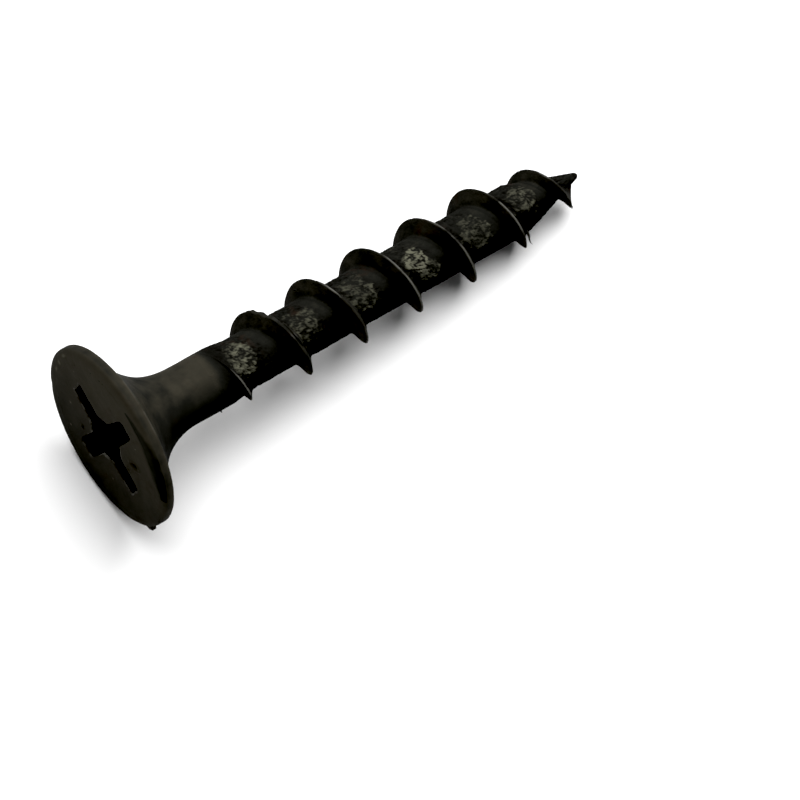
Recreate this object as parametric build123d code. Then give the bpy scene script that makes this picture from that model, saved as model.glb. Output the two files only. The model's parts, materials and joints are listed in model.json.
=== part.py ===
from build123d import *
from math import atan, ceil, cos, radians, sin, tan
import os

# Drywall screw: one solid of cold-formed, thread-rolled steel. Sizes are in millimetres and degrees.
# It is modelled upright, with the head's face at z = 0 and the point at +Z, and laid down last.
# At rest it lies on the rim of its head and on one thread crest, with its point towards +X.

# Head: flat face, rolled edge, short cylindrical rim, then the curved flare down to the shank
head_diameter = 8.05
rolled_edge_width = 0.55
rolled_edge_height = 0.2
rim_band_width = 0.24
rim_back_rounding = 0.09
flare_length = 3.2
flare_shoulder_depth = 0.98

# Shank, core and point
overall_length = 24.6
shank_diameter = 2.58
shank_length = 1.75
neck_length = 1.1
root_diameter = 2.32
cone_length = 3.5
point_diameter = 0.22

# Thread: right-handed, one start
crest_diameter = 3.66
crest_land = 0.05
pitch = 2.87
flank_angle = 27.0
thread_phase = 28.0
thread_overlap_on_shank = 0.6
run_in_length = 3.8
crest_taper_length = 4.45
crest_end_diameter = 2.13
bare_point_length = 0.85
thread_base_share = 0.8
points_per_turn = 12

# Cross recess
recess_span = 4.8
recess_floor_span = 2.3
recess_depth = 2.45
recess_tip_depth = 0.3
wing_width = 0.95
wing_floor_width = 0.62
wing_corner_radius = 0.16
recess_core_diameter = 2.05
recess_core_floor_diameter = 1.3
recess_turn = 18.6

# Burr left standing on the rim
burr_turn = 122.5
burr_width = 0.44
burr_length = 0.32
burr_height = 0.26
burr_root_depth = 0.1
burr_taper = 0.6

# Distances from the head's face, and radii, that follow from the sizes above
head_radius = head_diameter / 2
shank_radius = shank_diameter / 2
root_radius = root_diameter / 2
crest_radius = crest_diameter / 2
crest_end_radius = crest_end_diameter / 2
point_radius = point_diameter / 2
rim_back = rolled_edge_height + rim_band_width
flare_start = rim_back + rim_back_rounding
shank_start = flare_start + flare_length
shank_end = shank_start + shank_length
root_start = shank_end + neck_length
cone_start = overall_length - cone_length
thread_start = shank_end - thread_overlap_on_shank
thread_end = overall_length - bare_point_length
crest_taper_start = thread_end - crest_taper_length


def core_radius_at(s):
    """Radius of the solid core at the distance s from the head's face."""
    if s <= shank_end:
        return shank_radius
    if s <= root_start:
        return shank_radius + (root_radius - shank_radius) * (s - shank_end) / neck_length
    if s <= cone_start:
        return root_radius
    return root_radius + (point_radius - root_radius) * (s - cone_start) / cone_length


def crest_radius_at(s):
    """Radius of the thread's crest: it rises out of the shank, stays level, and falls towards the point."""
    if s <= thread_start + run_in_length:
        rise = sin(radians(90 * (s - thread_start) / run_in_length))
        return root_radius + (crest_radius - root_radius) * rise
    if s <= crest_taper_start:
        return crest_radius
    return crest_radius + (crest_end_radius - crest_radius) * (s - crest_taper_start) / crest_taper_length


def turned_body():
    """Head, flare, shank, core and point as one revolved solid."""
    rim_back_radius = head_radius - rim_back_rounding
    outline = [
        Line((0, 0), (head_radius - rolled_edge_width, 0)),
        Bezier(
            (head_radius - rolled_edge_width, 0),
            (head_radius, 0),
            (head_radius, rolled_edge_height),
        ),
        Line((head_radius, rolled_edge_height), (head_radius, rim_back)),
        CenterArc((rim_back_radius, rim_back), rim_back_rounding, 0, 90),
        Bezier(
            (rim_back_radius, flare_start),
            (shank_radius, flare_start + flare_shoulder_depth),
            (shank_radius, shank_start),
        ),
        Polyline(
            (shank_radius, shank_start),
            (shank_radius, shank_end),
            (root_radius, root_start),
            (root_radius, cone_start),
            (point_radius, overall_length - point_radius),
            (0, overall_length),
            (0, 0),
        ),
    ]
    return revolve(Plane.XZ * make_face(outline), Axis.Z)


def thread_corners(s):
    """Corners of the thread's cross-section where its crest is at s: two in the core, two on the crest."""
    outer = crest_radius_at(s)
    inner = thread_base_share * min(core_radius_at(s + pitch / 8), outer)
    half_base = crest_land / 2 + (outer - inner) * tan(radians(flank_angle))
    section = [
        (inner, -half_base),
        (outer, -crest_land / 2),
        (outer, crest_land / 2),
        (inner, half_base),
    ]
    turn = radians(thread_phase + 360 * s / pitch)
    return [Vector(radius * cos(turn), radius * sin(turn), s + shift) for radius, shift in section]


def thread_piece(start, length):
    """Solid stretch of the thread: four helical edges, ruled faces between them, and two flat caps."""
    count = max(ceil(length / pitch * points_per_turn), 3)
    places = [start + length * i / count for i in range(count + 1)]
    rows = [thread_corners(s) for s in places]
    nudge = pitch / 10000
    after_start = thread_corners(start + nudge)
    before_end = thread_corners(start + length - nudge)
    edges = []
    for k in range(4):
        points = [row[k] for row in rows]
        slopes = [(after_start[k] - points[0]) / nudge, (points[-1] - before_end[k]) / nudge]
        edges.append(Edge.make_spline(points, tangents=slopes, parameters=places, scale=False))
    faces = [Face.make_surface_from_curves(edges[k], edges[(k + 1) % 4]) for k in range(4)]
    caps = [Face(Wire.make_polygon(row)) for row in (rows[0], rows[-1])]
    return Solid(Shell(faces + caps))


def thread():
    """The whole thread, in equal pieces of up to one turn each."""
    total = thread_end - thread_start
    count = ceil(total / pitch)
    return [thread_piece(thread_start + total * i / count, total / count) for i in range(count)]


def recess():
    """Cross recess: two tapered bars at right angles, a round core and a shallow cone at the bottom."""
    mouth = RectangleRounded(recess_span, wing_width, wing_corner_radius)
    floor = RectangleRounded(recess_floor_span, wing_floor_width, wing_corner_radius)
    bar = loft([mouth, Pos(0, 0, recess_depth) * floor])
    core = Solid.make_cone(recess_core_diameter / 2, recess_core_floor_diameter / 2, recess_depth)
    tip = Solid.make_cone(recess_core_floor_diameter / 2, 0, recess_tip_depth)
    cross = bar + Rot(0, 0, 90) * bar + core + Pos(0, 0, recess_depth) * tip
    return Rot(0, 0, recess_turn) * cross


def burr():
    """Small tapered burr that stands out from the middle of the rim."""
    foot = Rectangle(burr_length, burr_width)
    top = Rectangle(burr_length * burr_taper, burr_width * burr_taper)
    block = loft([foot, Pos(0, 0, burr_root_depth + burr_height) * top])
    outwards = Rot(0, 90, 0) * block
    seat = Pos(head_radius - burr_root_depth, 0, rolled_edge_height + rim_band_width / 2)
    return Rot(0, 0, burr_turn) * seat * outwards


def resting_tilt():
    """Angle between the axis and the floor when the rim and the lowest thread crest both touch it."""
    turns = range(ceil(overall_length / pitch))
    crests_below = [pitch * ((180 - thread_phase) / 360 + i) for i in turns]
    slopes = [
        (head_radius - crest_radius_at(s)) / (s - rim_back)
        for s in crests_below
        if thread_start < s < thread_end
    ]
    return atan(min(slopes))


def lay_down(screw):
    """Turn the upright screw onto the floor and centre it over the origin."""
    tilt = resting_tilt()
    floor_pose = Plane(origin=(0, 0, 0), x_dir=(sin(tilt), 0, cos(tilt)), z_dir=(cos(tilt), 0, -sin(tilt)))
    lying = floor_pose * screw
    box = lying.bounding_box()
    return Pos(-box.center().X, -box.center().Y, -box.min.Z) * lying


screw = lay_down(turned_body() + thread() - recess() + burr())

os.makedirs("parts", exist_ok=True)
export_step(screw, "parts/screw.step")
print(f"screw: {screw.volume:.1f} cubic mm, {len(screw.solids())} solid, tilt {resting_tilt():.4f} rad")
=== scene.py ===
"""Looks of a black drywall screw that lies on a pale floor.

The screw's own coordinates are in millimetres: X points up out of the screw's side, Z runs from the head's
face towards the point, and a turn is measured from X towards Y. Each piece is made there and then laid on
the floor.
"""

from __future__ import annotations

import json
import logging
import math
from collections.abc import Callable
from dataclasses import dataclass, field
from enum import Enum

import bpy
import numpy as np
from mathutils import Matrix, Vector, noise

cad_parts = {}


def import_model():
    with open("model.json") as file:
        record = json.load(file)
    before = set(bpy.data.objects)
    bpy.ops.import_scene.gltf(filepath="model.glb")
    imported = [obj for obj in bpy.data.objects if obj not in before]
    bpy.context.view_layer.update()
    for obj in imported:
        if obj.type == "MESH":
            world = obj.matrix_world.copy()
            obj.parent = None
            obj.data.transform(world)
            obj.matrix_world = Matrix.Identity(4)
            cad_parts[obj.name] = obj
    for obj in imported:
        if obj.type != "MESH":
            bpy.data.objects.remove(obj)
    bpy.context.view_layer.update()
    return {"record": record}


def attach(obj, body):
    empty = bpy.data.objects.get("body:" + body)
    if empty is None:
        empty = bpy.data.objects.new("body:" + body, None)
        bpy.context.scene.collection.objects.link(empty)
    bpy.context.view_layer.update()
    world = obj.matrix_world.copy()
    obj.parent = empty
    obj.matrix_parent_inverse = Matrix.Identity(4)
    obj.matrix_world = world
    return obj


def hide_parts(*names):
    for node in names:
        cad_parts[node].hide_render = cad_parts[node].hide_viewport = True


LOG = logging.getLogger("screw")
MM = 0.001
NODE = "screw"
# Attribute for wear; on the crest it also carries a painted highlight.
WEAR_AND_HIGHLIGHT = "wear"
SCALE = "scale"
TONE = "tone"


class Feature(Enum):
    """Which value of a cell pattern is wanted."""

    NEAREST = "F1"
    EDGE = "DISTANCE_TO_EDGE"


class Kind(Enum):
    """Kind of a geometry tree's input."""

    MESH = "NodeSocketGeometry"
    NUMBER = "NodeSocketFloat"
    WHOLE_NUMBER = "NodeSocketInt"


@dataclass(frozen=True)
class Field:
    """One value inside a node tree. Arithmetic on it adds the math nodes that it needs."""

    tree: bpy.types.NodeTree
    socket: bpy.types.NodeSocket

    def feed(self, target: bpy.types.NodeSocket) -> None:
        """Links this value to an input socket."""
        self.tree.links.new(self.socket, target)

    def maths(self, operation: str, *others: Field | float) -> Field:
        """Adds one math node.

        Args:
            operation: the node's operation.
            others: the second and third inputs, as fields or plain numbers.

        Returns:
            The node's result.
        """
        node = self.tree.nodes.new("ShaderNodeMath")
        node.operation = operation
        for target, value in zip(node.inputs, (self, *others)):
            put(value, target)
        return Field(self.tree, node.outputs[0])

    def __add__(self, other: Field | float) -> Field:
        """Sum."""
        return self.maths("ADD", other)

    def __sub__(self, other: Field | float) -> Field:
        """Difference."""
        return self.maths("SUBTRACT", other)

    def __mul__(self, other: Field | float) -> Field:
        """Product."""
        return self.maths("MULTIPLY", other)

    def __truediv__(self, other: Field | float) -> Field:
        """Quotient."""
        return self.maths("DIVIDE", other)

    def __pow__(self, other: Field | float) -> Field:
        """Power."""
        return self.maths("POWER", other)

    def __radd__(self, other: float) -> Field:
        """Sum with the number first."""
        return self + other

    def __rsub__(self, other: float) -> Field:
        """Difference with the number first."""
        return self * -1.0 + other

    def at_least(self, other: Field | float) -> Field:
        """The larger of the two."""
        return self.maths("MAXIMUM", other)

    def at_most(self, other: Field | float) -> Field:
        """The smaller of the two."""
        return self.maths("MINIMUM", other)

    def soft_at_least(self, other: Field | float, reach: Field | float) -> Field:
        """The larger of the two, with a rounded change from one to the other."""
        return self.maths("SMOOTH_MAX", other, reach)

    def size(self) -> Field:
        """Value without its sign."""
        return self.maths("ABSOLUTE")

    def ramp(self, start: Field | float, end: Field | float, smooth: bool = True) -> Field:
        """Rises from 0 at start to 1 at end, and stays level outside them.

        Args:
            start: value that gives 0.
            end: value that gives 1.
            smooth: whether the rise has soft ends.

        Returns:
            The rise as a value from 0 to 1.
        """
        node = self.tree.nodes.new("ShaderNodeMapRange")
        node.interpolation_type = "SMOOTHSTEP" if smooth else "LINEAR"
        node.clamp = True
        for name, value in (("Value", self), ("From Min", start), ("From Max", end)):
            put(value, node.inputs[name])
        return Field(self.tree, node.outputs["Result"])

    def hill(self, centre: Field | float, half_width: Field | float) -> Field:
        """1 at the centre, falling softly to 0 at half_width away on each side."""
        return 1.0 - ((self - centre).size() / half_width).ramp(0.0, 1.0)


def put(value: Field | float | tuple[float, ...], target: bpy.types.NodeSocket) -> None:
    """Links a field to a socket, or writes a plain number or colour there."""
    if isinstance(value, Field):
        value.feed(target)
    else:
        target.default_value = value


@dataclass(frozen=True)
class Sheet:
    """Helper that adds nodes, patterns and vectors to one node tree."""

    tree: bpy.types.NodeTree

    @classmethod
    def with_inputs(cls, name: str, inputs: dict[str, Kind]) -> tuple[Sheet, dict[str, Field]]:
        """Starts a geometry tree.

        Args:
            name: name of the tree.
            inputs: name and kind of each input.

        Returns:
            The tree's helper, and its inputs by name.
        """
        tree = bpy.data.node_groups.new(name, "GeometryNodeTree")
        tree.interface.new_socket("Geometry", in_out="OUTPUT", socket_type="NodeSocketGeometry")
        for label, kind in inputs.items():
            tree.interface.new_socket(label, in_out="INPUT", socket_type=kind.value)
        sheet = cls(tree)
        entry = sheet.node("NodeGroupInput")
        return sheet, {label: sheet.out(entry, label) for label in inputs}

    def node(self, kind: str, **settings: object) -> bpy.types.Node:
        """Adds a node of that kind and sets its properties."""
        made = self.tree.nodes.new(kind)
        for name, value in settings.items():
            setattr(made, name, value)
        return made

    def out(self, node: bpy.types.Node, name: str | int = 0) -> Field:
        """One output of a node as a field."""
        return Field(self.tree, node.outputs[name])

    def join(self, x: Field | float, y: Field | float, z: Field | float) -> Field:
        """Vector from three values."""
        node = self.node("ShaderNodeCombineXYZ")
        for target, value in zip(node.inputs, (x, y, z)):
            put(value, target)
        return self.out(node)

    def split(self, vector: Field) -> tuple[Field, Field, Field]:
        """The three values of a vector."""
        node = self.node("ShaderNodeSeparateXYZ")
        vector.feed(node.inputs[0])
        return self.out(node, 0), self.out(node, 1), self.out(node, 2)

    def vector(
        self, operation: str, first: Field, second: Field | None = None, scale: Field | float = 1.0
    ) -> Field:
        """Adds one vector math node.

        Args:
            operation: the node's operation.
            first: the first vector.
            second: the second vector, where the operation takes one.
            scale: the factor, where the operation takes one.

        Returns:
            The resulting vector.
        """
        node = self.node("ShaderNodeVectorMath", operation=operation)
        first.feed(node.inputs[0])
        if second is not None:
            second.feed(node.inputs[1])
        if operation == "SCALE":
            put(scale, node.inputs["Scale"])
        return self.out(node)

    def swells(self, at: Field, scale: float, seed: float) -> bpy.types.Node:
        """Cloudy pattern's node.

        Args:
            at: the place, in millimetres.
            scale: how many swells to a millimetre.
            seed: which of the patterns it is.

        Returns:
            The node, with its value and its Color outputs.
        """
        node = self.node("ShaderNodeTexNoise", noise_dimensions="4D")
        at.feed(node.inputs["Vector"])
        node.inputs["W"].default_value = seed
        node.inputs["Scale"].default_value = scale
        return node

    def cloud(
        self, at: Field, scale: float, detail: float = 2.0, seed: float = 0.0, rough: float = 0.5
    ) -> Field:
        """Cloudy pattern.

        Args:
            at: the place, in millimetres.
            scale: how many swells to a millimetre.
            detail: how many finer layers lie on it.
            seed: which of the patterns it is.
            rough: how strong the finer layers are.

        Returns:
            A value around 0.5.
        """
        node = self.swells(at, scale, seed)
        node.inputs["Detail"].default_value = detail
        node.inputs["Roughness"].default_value = rough
        return self.out(node, 0)

    def cells(self, at: Field, scale: float, feature: Feature, seed: float) -> bpy.types.Node:
        """Cell pattern, like cracked scale.

        Args:
            at: the place, in millimetres.
            scale: how many cells to a millimetre.
            feature: whether the nearest cell or the distance to its edge is wanted.
            seed: which of the patterns it is.

        Returns:
            The node, with its Distance and Color outputs.
        """
        node = self.node("ShaderNodeTexVoronoi", voronoi_dimensions="4D", feature=feature.value)
        at.feed(node.inputs["Vector"])
        node.inputs["W"].default_value = seed
        node.inputs["Scale"].default_value = scale
        return node

    def lot(self, cells: bpy.types.Node) -> Field:
        """Value from 0 to 1 that each cell of a pattern draws for itself."""
        return self.split(self.out(cells, "Color"))[0]

    def warped(self, at: Field, reach: float, scale: float, seed: float) -> Field:
        """Place moved about by a cloudy pattern, so that what is drawn there gets ragged.

        Args:
            at: the place, in millimetres.
            reach: how far it moves, in millimetres.
            scale: how many swells to a millimetre.
            seed: which of the patterns it is.

        Returns:
            The moved place.
        """
        centred = self.node("ShaderNodeVectorMath", operation="SUBTRACT")
        self.out(self.swells(at, scale, seed), "Color").feed(centred.inputs[0])
        centred.inputs[1].default_value = (0.5, 0.5, 0.5)
        return self.vector("ADD", at, self.vector("SCALE", self.out(centred), scale=2.0 * reach))

    def named(self, name: str) -> Field:
        """Value that a geometry tree's mesh keeps under that name."""
        node = self.node("GeometryNodeInputNamedAttribute", data_type="FLOAT")
        node.inputs["Name"].default_value = name
        return self.out(node)

    def stored(self, mesh: Field, name: str, value: Field) -> Field:
        """Keeps a value on the mesh under that name."""
        node = self.node("GeometryNodeStoreNamedAttribute", data_type="FLOAT", domain="POINT")
        node.inputs["Name"].default_value = name
        mesh.feed(node.inputs["Geometry"])
        value.feed(node.inputs["Value"])
        return self.out(node)

    def moved(self, mesh: Field, socket: str, value: Field) -> Field:
        """Moves the mesh's points to a Position or by an Offset."""
        node = self.node("GeometryNodeSetPosition")
        mesh.feed(node.inputs["Geometry"])
        value.feed(node.inputs[socket])
        return self.out(node)

    def finish(self, mesh: Field, material: bpy.types.Material) -> None:
        """Ends a geometry tree: realizes its instances and sets its material."""
        realized = self.node("GeometryNodeRealizeInstances")
        dressed = self.node("GeometryNodeSetMaterial")
        dressed.inputs["Material"].default_value = material
        exit_node = self.node("NodeGroupOutput")
        mesh.feed(realized.inputs[0])
        self.out(realized).feed(dressed.inputs["Geometry"])
        self.out(dressed).feed(exit_node.inputs[0])


@dataclass(frozen=True)
class Lie:
    """Where the screw lies: the centre of its head's face and its three directions."""

    face_centre: Vector
    along: Vector

    @classmethod
    def from_record(cls, record: dict) -> Lie:
        """Reads the place from the recess's mount, whose axis points out of the head."""
        mount = next(m for m in record["mounts"] if m["name"] == "driver_recess")
        return cls(Vector(mount["pos_m"]), -Vector(mount["axis"]).normalized())

    def matrix(self) -> Matrix:
        """Takes a place from the screw's own millimetres to the room's metres."""
        side = Vector((0.0, -1.0, 0.0))
        up = side.cross(self.along)
        turn = Matrix((up, side, self.along)).transposed().to_4x4()
        return Matrix.Translation(self.face_centre) @ turn @ Matrix.Scale(MM, 4)


@dataclass(frozen=True)
class ShankSizes:
    """Sizes of the shank, the threaded core and the point, in millimetres."""

    overall_length: float = 24.598
    shank_radius: float = 1.29
    shank_start: float = 3.73
    shank_end: float = 5.48
    neck_length: float = 1.1
    root_radius: float = 1.16
    cone_length: float = 3.5
    point_radius: float = 0.11
    join_at: float = 4.72
    join_overlap: float = 0.3
    join_sink: float = 0.004

    @property
    def core_start(self) -> float:
        """Distance from the head's face to the core's closed end inside the shank."""
        return self.join_at - 2.0 * self.join_overlap


@dataclass(frozen=True)
class ThreadSizes:
    """Sizes of the thread, in millimetres and degrees."""

    pitch: float = 2.87
    crest_radius: float = 1.83
    crest_land: float = 0.05
    flank_angle: float = 27.0
    phase: float = 28.0
    start: float = 4.88
    run_in_length: float = 3.8
    end: float = 23.75
    end_radius: float = 1.065
    taper_length: float = 4.45
    base_fillet: float = 0.3
    tear_before: float = 0.02
    tear_after: float = 0.05
    tear_depth: float = 1.5


def lay_down(mesh: bpy.types.Mesh, lie: Lie) -> None:
    """Moves a mesh from the screw's own millimetres to where it lies in the room."""
    mesh.transform(lie.matrix())
    mesh.update()


def evaluated_mesh(
    tree: bpy.types.NodeTree, name: str, values: dict[str, object], base: bpy.types.Mesh | None = None
) -> bpy.types.Mesh:
    """Runs a geometry tree once and keeps its result as a plain mesh.

    Args:
        tree: the geometry tree.
        name: name of the mesh.
        values: what the tree's named inputs are set to.
        base: mesh that the tree starts from, where it needs one.

    Returns:
        The plain mesh.
    """
    carrier = bpy.data.objects.new(name + "_carrier", base or bpy.data.meshes.new(name + "_carrier"))
    bpy.context.scene.collection.objects.link(carrier)
    modifier = carrier.modifiers.new("make", "NODES")
    modifier.node_group = tree
    identifiers = {item.name: item.identifier for item in tree.interface.items_tree if item.in_out == "INPUT"}
    for label, value in values.items():
        modifier[identifiers[label]] = value
    graph = bpy.context.evaluated_depsgraph_get()
    made = carrier.evaluated_get(graph)
    mesh = bpy.data.meshes.new_from_object(made, preserve_all_data_layers=True, depsgraph=graph)
    mesh.name = name
    carrier.modifiers.remove(modifier)
    bpy.data.objects.remove(carrier)
    return mesh


def outward(mesh: bpy.types.Mesh) -> None:
    """Turns every face over when the closed mesh encloses a negative volume."""
    mesh.calc_loop_triangles()
    points = np.empty(len(mesh.vertices) * 3)
    mesh.vertices.foreach_get("co", points)
    corners = np.empty(len(mesh.loop_triangles) * 3, dtype=np.int32)
    mesh.loop_triangles.foreach_get("vertices", corners)
    a, b, c = points.reshape(-1, 3)[corners.reshape(-1, 3)].transpose(1, 0, 2)
    if np.einsum("ij,ij->i", a, np.cross(b, c)).sum() < 0:
        mesh.flip_normals()


def as_piece(mesh: bpy.types.Mesh, material: bpy.types.Material) -> bpy.types.Object:
    """Makes a finished piece of the screw from its mesh and its material.

    Args:
        mesh: the mesh, already where it lies.
        material: the finish.

    Returns:
        The object, which rides on the screw and stands for its solid.
    """
    mesh.materials.clear()
    mesh.materials.append(material)
    mesh.shade_smooth()
    piece = bpy.data.objects.new(mesh.name, mesh)
    bpy.context.scene.collection.objects.link(piece)
    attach(piece, "root")
    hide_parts(NODE)
    mesh.calc_loop_triangles()
    LOG.info("%s: %d triangles", piece.name, len(mesh.loop_triangles))
    return piece


@dataclass(frozen=True)
class Patch:
    """Part of the core where crust has stayed: where it is, its half sizes and how pale it is."""

    along: float
    turn: float
    half_length: float
    half_width: float
    pale: float


@dataclass(frozen=True)
class Winding:
    """Where each point of the ribbon belongs on the helix, and how its crest has fared there."""

    crest_at: Field
    s: Field
    angle: Field
    along_helix: Field
    in_sight: Field
    lump: Field


@dataclass(frozen=True)
class CoreMap:
    """What each place on the rolled core is like. Its relief, its scale and its tone all follow this."""

    s: Field
    turn: Field
    stretched: Field
    on_core: Field
    rolled: Field
    collar: Field
    groove: Field
    lumps: Field
    cover: Field
    plate: Field
    plate_height: Field
    granule: Field
    crack: Field
    grit: Field
    pit: Field
    bare: Field
    scored: Field
    torn_side: Field
    fade: Field


@dataclass
class ThreadedCore:
    """Neck, core, point and thread: a ribbon one pitch wide, wound along the helix and closed on itself."""

    shank: ShankSizes = field(default_factory=ShankSizes)
    thread: ThreadSizes = field(default_factory=ThreadSizes)
    columns_per_turn: int = 144
    rows: int = 89
    flank_share_of_rows: float = 0.42
    flank_reach: float = 0.42
    merge_distance: float = 0.0015
    crust_depth: float = 0.06
    crest_waver: float = 0.02
    nick_depth: float = 0.07
    lean: float = 0.16
    seed: int = 7
    lump_at: float = 8.12
    lump_half_length: float = 0.42
    lump_height: float = 0.7
    lump_land: float = 0.07
    double_from: float = 8.36
    double_to: float = 8.86
    double_rise: float = 0.06
    double_fall: float = 0.2
    second_edge_at: float = 0.15
    second_edge_drop: float = 0.03
    second_edge_land: float = 0.015
    fang_at: float = 20.68
    fang_half_length: float = 0.12
    fang_height: float = 0.08
    line_width: float = 0.021
    tip_fade_length: float = 0.3
    # Turn that faces the viewer: the crest wavers more there, and its painted highlight shows there.
    sight_turn: float = 50.0
    # Painted shade: the core's coat is darkened over the turns from about 8 to 165 degrees, and more on the
    # collars there; these set how strong and where.
    shade: float = 0.65
    painted_shade_rise: tuple[float, float] = (8.0, 58.0)
    painted_shade_fall: tuple[float, float] = (165.0, 120.0)
    painted_collar_shade: float = 0.3
    painted_collar_shade_rise: tuple[float, float] = (-5.0, 30.0)
    patches: tuple[Patch, ...] = (
        Patch(6.35, 6.0, 0.70, 0.85, 1.3),
        Patch(9.30, 6.0, 1.00, 0.90, 0.7),
        Patch(12.30, 10.0, 1.00, 1.00, 0.55),
        Patch(15.35, 5.0, 0.60, 0.60, 2.4),
        Patch(15.75, 42.0, 0.60, 0.50, 0.8),
        Patch(18.45, 14.0, 0.90, 0.85, 0.5),
        Patch(21.20, 0.0, 0.80, 0.70, 0.8),
    )

    def build(self, lie: Lie, material: bpy.types.Material) -> tuple[bpy.types.Object, bpy.types.Mesh]:
        """Makes the threaded core.

        Args:
            lie: where the screw lies.
            material: the finish of the rolled thread.

        Returns:
            The finished piece, and its mesh in the screw's own millimetres for what grows on it.
        """
        values = {
            "Pitch": self.thread.pitch,
            "Crest radius": self.thread.crest_radius,
            "Flank angle": math.radians(self.thread.flank_angle),
            "Root radius": self.shank.root_radius,
            "Shank radius": self.shank.shank_radius,
            "Overall length": self.shank.overall_length,
            "Crust depth": self.crust_depth,
            "Crest waver": self.crest_waver,
            "Seed": float(self.seed),
        }
        sheet, given = Sheet.with_inputs("threaded_core", dict.fromkeys(values, Kind.NUMBER))
        sheet.finish(self.crusted(sheet, given, self.wound_ribbon(sheet, given)), material)
        mesh = evaluated_mesh(sheet.tree, "threaded_core", values)
        outward(mesh)
        upright = mesh.copy()
        lay_down(mesh, lie)
        return as_piece(mesh, material), upright

    def core_radius(self, given: dict[str, Field], s: Field) -> Field:
        """Radius of the core under the thread, from the shank over the neck and the cone to the point.

        Args:
            given: the tree's named inputs.
            s: distance from the head's face.

        Returns:
            The radius in millimetres.
        """
        shank = self.shank
        neck = s.ramp(shank.shank_end, shank.shank_end + shank.neck_length)
        straight = given["Shank radius"] + (given["Root radius"] - given["Shank radius"]) * neck
        cone_start = given["Overall length"] - shank.cone_length
        cone = s.ramp(cone_start, given["Overall length"], smooth=False)
        coned = straight + (shank.point_radius - given["Root radius"]) * cone
        tip = coned * (given["Overall length"] - s).ramp(0.0, shank.point_radius, smooth=False) ** 0.5
        sunk = s.ramp(shank.join_at, shank.join_at - shank.join_overlap, smooth=False) * shank.join_sink
        closed = s.ramp(shank.core_start, shank.join_at - shank.join_overlap, smooth=False)
        return (tip - sunk) * closed

    def crest_radius(self, given: dict[str, Field], s: Field) -> Field:
        """Radius of the crest: it rises out of the shank, stays level, falls and ends torn off.

        Args:
            given: the tree's named inputs.
            s: distance of the crest from the head's face.

        Returns:
            The radius in millimetres.
        """
        thread = self.thread
        run_in = s.ramp(thread.start, thread.start + thread.run_in_length, smooth=False)
        rise = (run_in * (math.pi / 2)).maths("SINE")
        level = given["Root radius"] + (given["Crest radius"] - given["Root radius"]) * rise
        taper = s.ramp(thread.end - thread.taper_length, thread.end, smooth=False)
        torn = s.ramp(thread.end - thread.tear_before, thread.end + thread.tear_after, smooth=False)
        return level + (thread.end_radius - given["Crest radius"]) * taper - torn * thread.tear_depth

    def winding(self, sheet: Sheet, given: dict[str, Field]) -> tuple[Field, Winding]:
        """Flat grid that gets wound, and where its points belong. Rows lie closer together on the flanks.

        Args:
            sheet: the tree's helper.
            given: the tree's named inputs.

        Returns:
            The grid's mesh and its winding.
        """
        low_end = self.shank.core_start
        turns = (self.shank.overall_length - low_end) / self.thread.pitch + 1.0
        columns = math.ceil(turns * self.columns_per_turn)
        grid = sheet.node("GeometryNodeMeshGrid")
        grid.inputs["Size X"].default_value = float(columns)
        grid.inputs["Size Y"].default_value = 2.0
        grid.inputs["Vertices X"].default_value = columns + 1
        grid.inputs["Vertices Y"].default_value = self.rows + 1
        x, y, _ = sheet.split(sheet.out(sheet.node("GeometryNodeInputPosition")))
        turn = (x + columns / 2).maths("ROUND") / float(self.columns_per_turn)
        crest_at = turn * given["Pitch"] + (low_end - self.thread.pitch / 2)
        across = y.size()
        on_flank = across.ramp(0.0, self.flank_share_of_rows, smooth=False) * self.flank_reach
        root_reach = given["Pitch"] / 2.0 - self.flank_reach
        on_root = across.ramp(self.flank_share_of_rows, 1.0, smooth=False) * root_reach
        offset = (on_flank + on_root) * y.maths("SIGN")
        angle = (crest_at / given["Pitch"] + self.thread.phase / 360.0) * (2.0 * math.pi)
        return sheet.out(grid, "Mesh"), Winding(
            crest_at=crest_at,
            s=(crest_at + offset).at_least(low_end).at_most(given["Overall length"]),
            angle=angle,
            along_helix=sheet.join(crest_at, 0.0, given["Seed"]),
            in_sight=(angle - math.radians(self.sight_turn)).maths("COSINE").ramp(-0.1, 0.5),
            lump=crest_at.hill(self.lump_at, self.lump_half_length),
        )

    def crest_line(self, sheet: Sheet, given: dict[str, Field], here: Winding) -> Field:
        """Radius of the crest as rolling has left it: wavering and nicked, with a torn lump and a fang.

        Args:
            sheet: the tree's helper.
            given: the tree's named inputs.
            here: the ribbon's winding.

        Returns:
            The radius in millimetres.
        """
        waver = (sheet.cloud(here.along_helix, 3.5, detail=4.0, seed=1.0) - 0.5) * (here.in_sight * 4.0 + 4.0)
        nick = sheet.cloud(here.along_helix, 9.0, detail=2.0, seed=2.0).ramp(0.60, 0.72) * self.nick_depth
        swell = sheet.cloud(here.along_helix, 6.5, detail=2.0, seed=3.0) - 0.47
        knobs = swell * here.lump * self.lump_height
        fang = here.crest_at.hill(self.fang_at, self.fang_half_length) * self.fang_height
        level = self.crest_radius(given, here.crest_at)
        return level + waver * given["Crest waver"] - nick + knobs + fang

    def wound_ribbon(self, sheet: Sheet, given: dict[str, Field]) -> Field:
        """Grid wound along the helix, with one row of the grid on the crest and its edges joined.

        Args:
            sheet: the tree's helper.
            given: the tree's named inputs.

        Returns:
            The closed mesh, with its crest's wear and painted highlight stored on it.
        """
        grid, here = self.winding(sheet, given)
        outer = self.crest_line(sheet, given, here)
        core = self.core_radius(given, here.s)
        from_crest = here.s - here.crest_at
        from_edge = from_crest.size() - (here.lump * self.lump_land + self.thread.crest_land / 2)
        from_second = (from_crest - self.second_edge_at).size()
        starting = here.crest_at.ramp(self.double_from - self.double_rise, self.double_from)
        doubled = starting * here.crest_at.ramp(self.double_to, self.double_to - self.double_fall)

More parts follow.
